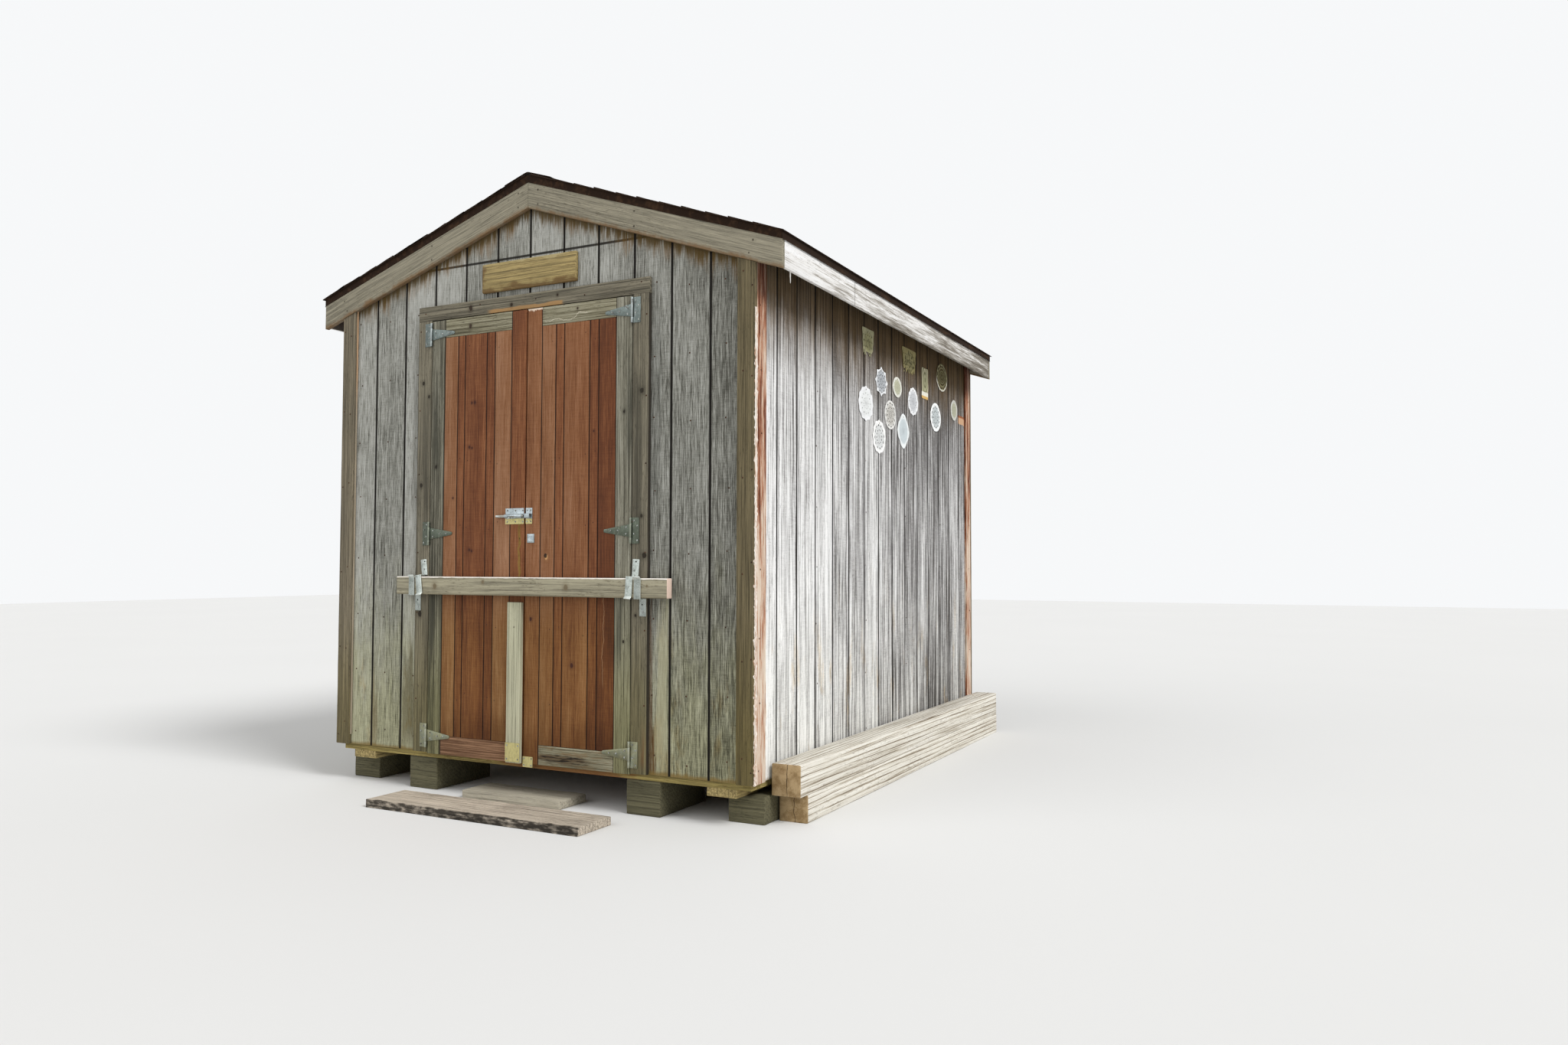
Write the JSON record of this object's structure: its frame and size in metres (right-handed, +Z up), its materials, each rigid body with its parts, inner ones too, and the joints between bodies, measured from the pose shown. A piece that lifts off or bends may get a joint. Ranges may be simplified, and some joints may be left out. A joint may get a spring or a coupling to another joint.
{
  "type": "timber shed outhouse",
  "caption": "Small gabled timber shed with grooved panel siding, a pair of plank doors held by a drop bar, and lace rounds pinned to one wall.",
  "frame": {"origin": "on the ground, at the centre of the outline, step plank and side timbers included", "axes": "+Z up; the front with the doors faces -Y; +X is to the right seen from the front"},
  "size_m": [2.7912, 3.622, 3.0313],
  "materials": {
    "grey_siding": "weathered grey plywood siding with mildew streaks",
    "pale_siding": "sun-bleached plywood siding",
    "grey_trim": "weathered trim board",
    "orange_trim": "trim board with worn orange-brown stain",
    "barge_board": "weathered board with brown stain at its lower edge",
    "eave_board": "bleached eave board",
    "door_red": "red-brown stained boards",
    "door_back": "bare back of the door boarding",
    "door_grey": "bare grey boards",
    "bar_wood": "weathered lumber",
    "batten_wood": "grey-green batten",
    "framing": "aged softwood framing",
    "floor_wood": "worn floor boards",
    "treated": "treated lumber, yellow-green",
    "block_wood": "mossy timber block",
    "timber_wood": "bleached landscape timber",
    "step_wood": "worn plank",
    "sign_wood": "ochre-stained board, bare",
    "shingle": "mineral-surfaced asphalt shingle",
    "drip_metal": "dark brown painted sheet",
    "galvanised": "dull galvanised steel with rust",
    "lace": "crocheted cotton lace"
  },
  "bodies": {
    "root": {"pier_blocks": "block_wood", "packing_planks": "treated", "floor_joists": "treated", "floor_deck": "floor_wood", "wall_framing": "framing", "rafters": "framing", "front_wall_left": "grey_siding", "front_wall_right": "grey_siding", "front_wall_head": "grey_siding", "gable_panels": "grey_siding", "back_wall": "grey_siding", "left_wall": "grey_siding", "right_wall": "pale_siding", "gable_corner_boards": "grey_trim", "side_corner_boards": "orange_trim", "barge_boards": "barge_board", "eave_fascias": "eave_board", "roof_deck": "framing", "shingles": "shingle", "ridge_cap": "shingle", "drip_edges": "drip_metal", "door_head_board": "grey_trim", "door_jambs": "grey_trim", "sign_board": "sign_wood", "hinge_plates": "galvanised", "doilies": "lace", "side_timbers": "timber_wood", "step_plank": "step_wood", "step_slab": "step_wood"},
    "left_door": {"left_leaf_panel": "door_back", "left_leaf_boards": "door_red", "left_leaf_stiles": "door_grey", "left_leaf_rails": "door_grey", "left_leaf_batten": "batten_wood", "left_leaf_straps": "galvanised", "left_leaf_fittings": "galvanised"},
    "right_door": {"right_leaf_panel": "door_back", "right_leaf_boards": "door_red", "right_leaf_stiles": "door_grey", "right_leaf_rails": "door_grey", "right_leaf_straps": "galvanised", "right_leaf_fittings": "galvanised"},
    "bolt": {"bolt_rod": "galvanised"},
    "bar": {"drop_bar": "bar_wood", "bar_straps": "galvanised"}
  },
  "joints": [
    {"name": "left_door_hinge", "type": "hinge", "parent": "root", "child": "left_door", "pos_m": [-0.6135, -1.4065, 1.284], "axis": [0, 0, -1], "range_deg": [0, 160]},
    {"name": "right_door_hinge", "type": "hinge", "parent": "root", "child": "right_door", "pos_m": [0.6135, -1.4065, 1.284], "axis": [0, 0, 1], "range_deg": [0, 160]},
    {"name": "bar_off", "type": "slide", "parent": "root", "child": "bar", "axis": [0, -1, 0], "range_m": [0, 1.8161]},
    {"name": "bolt_slide", "type": "slide", "parent": "left_door", "child": "bolt", "axis": [1, 0, 0], "range_m": [0, 0.03]}
  ],
  "couplings": [
    {"joint": "right_door_hinge", "follows": "left_door_hinge", "ratio": 1},
    {"joint": "bar_off", "follows": "left_door_hinge", "m_per_rad": 0.65}
  ]
}
